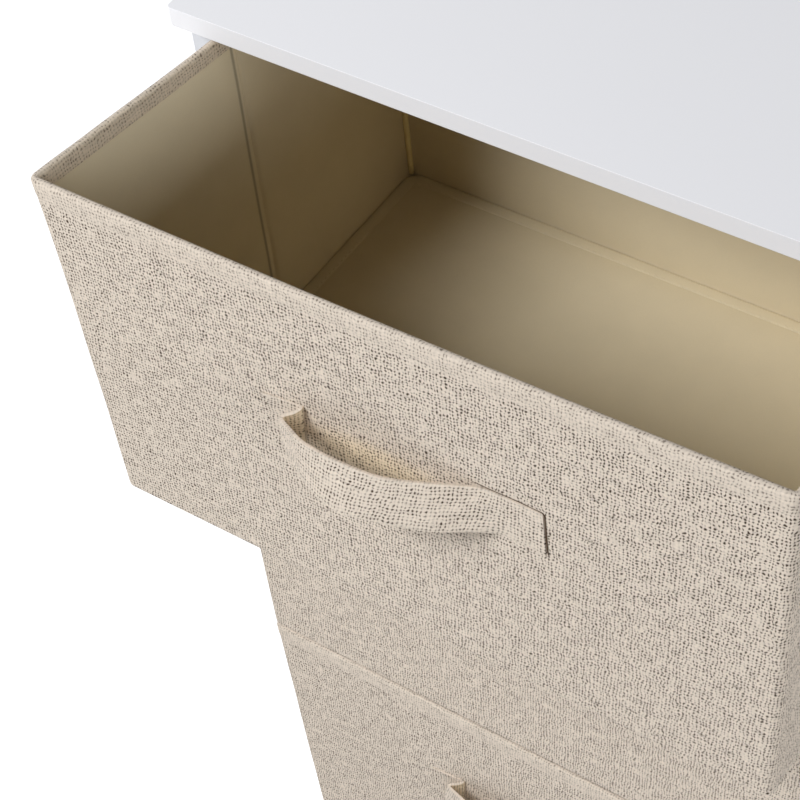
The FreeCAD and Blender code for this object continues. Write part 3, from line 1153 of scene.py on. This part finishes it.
class DRESSER_OT_handles(bpy.types.Operator):
    """Sews the strap handle to the front of every bin"""

    bl_idname = "dresser.handles"
    bl_label = "Strap handles"

    def execute(self, context):
        scene = context.scene
        strap = scene.dresser_strap
        material = made_material("strap_linen", linen, scene.dresser_colours, *STRAP_WEAVE,
                                 selvedge=strap.width)
        # The strap's inner side gets a copy of the linen with painted warm bounce light all over, as
        # painted shade.
        shaded = made_material("strap_linen_inside", linen, scene.dresser_colours, *STRAP_WEAVE,
                               selvedge=strap.width, shaded=1.0)
        for index, level in enumerate(LEVELS):
            bm = strap_mesh(level, strap.width, STRAP_MAP + index)
            made = bin_piece(bm, level, "handle", material, scene.dresser_cloth.slack)
            double_cloth(made, strap, shaded)
            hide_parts(level + "_drawer_handle")
            ease_into_frame(made, level)
        return {"FINISHED"}


# ---------------------------------------------------------------- board top and frame

def bead(bm, path):
    """A round bead along a path of points with a radius each, closed at both ends."""
    rim = None
    last = None
    for index, (point, radius) in enumerate(path):
        after = path[min(index + 1, len(path) - 1)][0]
        before = path[max(index - 1, 0)][0]
        turn = (after - before).to_track_quat("Z", "Y").to_matrix().to_4x4()
        place = Matrix.Translation(point) @ turn @ Matrix.Diagonal((radius, radius, radius, 1))
        if rim is None:
            made = bmesh.ops.create_circle(bm, cap_ends=False, segments=8, radius=1.0)["verts"]
            bmesh.ops.transform(bm, matrix=place, verts=made)
            rim = list(dict.fromkeys(edge for vert in made for edge in vert.link_edges))
            bmesh.ops.contextual_create(bm, geom=rim)
        else:
            rim, made = extend(bm, rim)
            bmesh.ops.transform(bm, matrix=place @ last.inverted(), verts=made)
        last = place
    bmesh.ops.contextual_create(bm, geom=rim)


TAPE_INSET = 5.0 * MM                # of the tapes' middle, from a bin's outside
TAPE_RADIUS = 1.8 * MM
TAPE_HEIGHTS = range(10, 210, 10)    # of a tape's points above the underside, in millimetres


class DRESSER_OT_seams(bpy.types.Operator):
    """Marks the slit and the stitches at the strap's ends with painted shade, and tapes the inner
    corners
    """

    bl_idname = "dresser.seams"
    bl_label = "Seams and tapes"

    def execute(self, context):
        scene = context.scene
        strap = scene.dresser_strap
        slack = scene.dresser_cloth.slack
        # Painted shade: a dark bead along the slit and dark grains at the stitch holes.
        shade = made_material("slit_edge", felt, scene.dresser_colours.slit, 0.1)
        tape = made_material("corner_tape", felt, scene.dresser_colours.tape, 0.05)
        for level in LEVELS:
            size = bin_size(level)
            right, up = STRAP_SET[level][1:3]
            bm = bmesh.new()
            bead(bm, [(Vector((x + right, 0.0, z + up)) * MM, half * MM)
                      for x, z, half in STRAP_SLIT])
            close(bm)
            ease_into_frame(bin_piece(bm, level, "handle_slit", shade, slack), level)
            bm = bmesh.new()
            for x, z in STRAP_TAB_STITCHES:
                place = Matrix.Translation(Vector((x + right, -0.6, z + up)) * MM)
                add_grain(bm, place, (0.45 * MM, 0.35 * MM, strap.stitch * 0.3))
            ease_into_frame(bin_piece(bm, level, "handle_stitches", shade, slack), level)
            bm = bmesh.new()
            for x in (TAPE_INSET, size.x - TAPE_INSET):
                for y in (TAPE_INSET, size.y - TAPE_INSET):
                    bead(bm, [(Vector((x, y, height * MM)), TAPE_RADIUS) for height in TAPE_HEIGHTS])
            close(bm)
            ease_into_frame(bin_piece(bm, level, "corner_tapes", tape, slack), level)
        return {"FINISHED"}


FLAT_AREA = 0.003         # in square metres: faces above this are the board's flat sides


class DRESSER_OT_top_board(bpy.types.Operator):
    """Lays the laminated board on the frame"""

    bl_idname = "dresser.top_board"
    bl_label = "Board top"

    def execute(self, context):
        scene = context.scene
        board = scene.dresser_board
        low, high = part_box("top_board")
        bm = bmesh.new()
        add_box(bm, low, high)
        upright = [edge for edge in bm.edges
                   if abs(edge.verts[0].co.z - edge.verts[1].co.z) > 1 * MM]
        round_off(bm, upright, board.corner, 6)
        for height, radius, segments in ((high.z, board.upper_edge, 6),
                                         (low.z, board.lower_edge, 3)):
            rim = [edge for edge in bm.edges
                   if all(abs(vert.co.z - height) < 0.01 * MM for vert in edge.verts)]
            round_off(bm, rim, radius, segments)
        close(bm)
        material = made_material("board_laminate", laminate, scene.dresser_colours)
        top = piece(bm, "board_top", "frame", material)
        top.data.shade_flat()
        for polygon in top.data.polygons:
            polygon.use_smooth = polygon.area < FLAT_AREA
        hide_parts("top_board")
        return {"FINISHED"}


class DRESSER_OT_frame_finishes(bpy.types.Operator):
    """Coats the steel tubes and gives the feet and fasteners their finish"""

    bl_idname = "dresser.frame_finishes"
    bl_label = "Frame finishes"

    def execute(self, context):
        colours = context.scene.dresser_colours
        finishes = {
            "white_steel": made_material("powder_coat", powder_coat, colours.steel),
            "foot_plastic": made_material("moulded_foot", moulded, colours.plastic),
            "zinc_fastener": made_material("zinc_plate", plated, colours.zinc, 0.34),
            "insert_steel": made_material("insert_plate", plated, colours.zinc, 0.45),
        }
        for part in frame["record"]["subparts"]:
            finish = finishes.get(part["material_slot"])
            if finish is None:
                continue
            node = frame["nodes"][part["node"]]
            for slot in node.material_slots:
                slot.link = "OBJECT"
                slot.material = finish
        return {"FINISHED"}


# ---------------------------------------------------------------- stage

def view_axes(azimuth, elevation, roll):
    """The camera's turn, from where it looks and how it is rolled."""
    forward = Vector((math.sin(azimuth) * math.cos(elevation),
                      math.cos(azimuth) * math.cos(elevation), -math.sin(elevation)))
    level = Vector((math.cos(azimuth), -math.sin(azimuth), 0))
    upward = level.cross(forward)
    right = math.cos(roll) * level + math.sin(roll) * upward
    up = math.cos(roll) * upward - math.sin(roll) * level
    return Matrix((right, up, -forward)).transposed()


LAMP_AIM = Vector((0.0, -0.1, 0.6))
LAMP_DISTANCE = 3.2
STUDIO_LIGHT = (0.945, 0.98, 1.02)     # a little on the cool side, as studio flash is
# Each lamp's name, the degrees that it stands round to the left from the front, the degrees that it
# stands up, and its size in metres.
LAMPS = (("key", 34, 42, 1.25), ("fill", -70, 10, 0.9), ("side", -85, 8, 0.5),
         ("back", 180, 25, 1.25))
FLOOR_HALF = 6.0                       # half the floor's width
FLOOR_GLOW = 0.50                      # what the camera sees of the floor beyond its own light


class DRESSER_OT_stage(bpy.types.Operator):
    """Sets up the floor, the lamps, the plain white room and the camera"""

    bl_idname = "dresser.stage"
    bl_label = "Studio"

    def execute(self, context):
        scene = context.scene
        studio = scene.dresser_studio
        self.lay_floor()
        for name, azimuth, height, size in LAMPS:
            self.hang_lamp(name, math.radians(azimuth), math.radians(height), size,
                           getattr(studio, name))
        self.light_room(scene, studio)
        data = bpy.data.cameras.new("camera")
        data.lens = studio.lens
        data.sensor_width = studio.sensor
        data.clip_start = 0.05
        data.clip_end = 50.0
        camera = bpy.data.objects.new("camera", data)
        context.collection.objects.link(camera)
        turn = view_axes(studio.azimuth, studio.elevation, studio.roll)
        camera.matrix_world = Matrix.Translation(studio.place) @ turn.to_4x4()
        scene.camera = camera
        scene.view_settings.view_transform = "Standard"
        return {"FINISHED"}

    def lay_floor(self):
        """A wide pale floor that keeps the shadow."""
        bm = bmesh.new()
        bmesh.ops.create_grid(bm, x_segments=1, y_segments=1, size=FLOOR_HALF)
        finish = Finish("pale_floor", roughness=0.9, specular=0.1)
        finish.shader.inputs["Base Color"].default_value = (0.9, 0.9, 0.9, 1.0)
        seen = finish.node("ShaderNodeLightPath", {}, {}).outputs["Is Camera Ray"]
        glow = finish.node("ShaderNodeEmission", {},
                           {"Color": (1, 1, 1, 1), "Strength": FLOOR_GLOW})
        dark = finish.node("ShaderNodeEmission", {}, {"Color": (0, 0, 0, 1), "Strength": 0.0})
        lift = finish.node("ShaderNodeMixShader", {},
                           {0: seen, 1: dark.outputs[0], 2: glow.outputs[0]})
        both = finish.node("ShaderNodeAddShader", {},
                           {0: finish.shader.outputs[0], 1: lift.outputs[0]})
        output = finish.nodes["Material Output"]
        finish.links.new(both.outputs[0], output.inputs["Surface"])
        floor = mesh_object(bm, "floor", finish.material)

    def hang_lamp(self, name, azimuth, height, size, power):
        """A large soft lamp that faces LAMP_AIM. Azimuth turns from the front towards the left."""
        data = bpy.data.lights.new(name, "AREA")
        data.shape = "SQUARE"
        data.size = size
        data.energy = power
        data.color = STUDIO_LIGHT
        lamp = bpy.data.objects.new(name, data)
        bpy.context.collection.objects.link(lamp)
        way = Vector((-math.sin(azimuth) * math.cos(height), -math.cos(azimuth) * math.cos(height),
                      math.sin(height)))
        turn = way.to_track_quat("Z", "Y").to_matrix().to_4x4()
        lamp.matrix_world = Matrix.Translation(LAMP_AIM + way * LAMP_DISTANCE) @ turn

    def light_room(self, scene, studio):
        """White for the camera, gloss and glass, and a plain level for everything else."""
        scene.world = bpy.data.worlds.new("room")
        room = Tree(scene.world)
        path = room.node("ShaderNodeLightPath", {}, {})
        seen = room.math("MAXIMUM", path.outputs["Is Camera Ray"], path.outputs["Is Glossy Ray"])
        seen = room.math("MAXIMUM", seen, path.outputs["Is Transmission Ray"])
        white = room.nodes["Background"]
        white.inputs["Color"].default_value = (1, 1, 1, 1)
        white.inputs["Strength"].default_value = 1.0
        plain = room.node("ShaderNodeBackground", {},
                          {"Color": (*STUDIO_LIGHT, 1), "Strength": studio.ambient})
        mix = room.node("ShaderNodeMixShader", {},
                        {0: seen, 1: plain.outputs[0], 2: white.outputs[0]})
        room.links.new(mix.outputs[0], room.nodes["World Output"].inputs["Surface"])


class DRESSER_PT_sidebar(bpy.types.Panel):
    """Lists the dresser's pieces in the order in which they are made"""

    bl_idname = "DRESSER_PT_sidebar"
    bl_label = "Dresser"
    bl_space_type = "VIEW_3D"
    bl_region_type = "UI"
    bl_category = "Dresser"

    def draw(self, context):
        for operator in OPERATORS:
            self.layout.operator(operator.bl_idname)
        for group in GROUPS:
            box = self.layout.box()
            owner = getattr(context.scene, group)
            for name in owner.__annotations__:
                box.prop(owner, name)


OPERATORS = (
    DRESSER_OT_boards,
    DRESSER_OT_covers,
    DRESSER_OT_linings,
    DRESSER_OT_base_boards,
    DRESSER_OT_handles,
    DRESSER_OT_seams,
    DRESSER_OT_top_board,
    DRESSER_OT_frame_finishes,
    DRESSER_OT_stage,
)
GROUPS = {
    "dresser_cloth": DresserCloth,
    "dresser_strap": DresserStrap,
    "dresser_board": DresserBoard,
    "dresser_colours": DresserColours,
    "dresser_studio": DresserStudio,
}


def register():
    for group in GROUPS.values():
        bpy.utils.register_class(group)
    for name, group in GROUPS.items():
        setattr(bpy.types.Scene, name, PointerProperty(type=group))
    for operator in OPERATORS:
        bpy.utils.register_class(operator)
    bpy.utils.register_class(DRESSER_PT_sidebar)


def unregister():
    bpy.utils.unregister_class(DRESSER_PT_sidebar)
    for operator in reversed(OPERATORS):
        bpy.utils.unregister_class(operator)
    for name in GROUPS:
        delattr(bpy.types.Scene, name)
    for group in reversed(GROUPS.values()):
        bpy.utils.unregister_class(group)


def main():
    """Makes every piece in order."""
    register()
    bpy.ops.dresser.boards()
    bpy.ops.dresser.covers()
    bpy.ops.dresser.linings()
    bpy.ops.dresser.base_boards()
    bpy.ops.dresser.handles()
    bpy.ops.dresser.seams()
    bpy.ops.dresser.top_board()
    bpy.ops.dresser.frame_finishes()
    bpy.ops.dresser.stage()


if __name__ == "__main__":
    main()
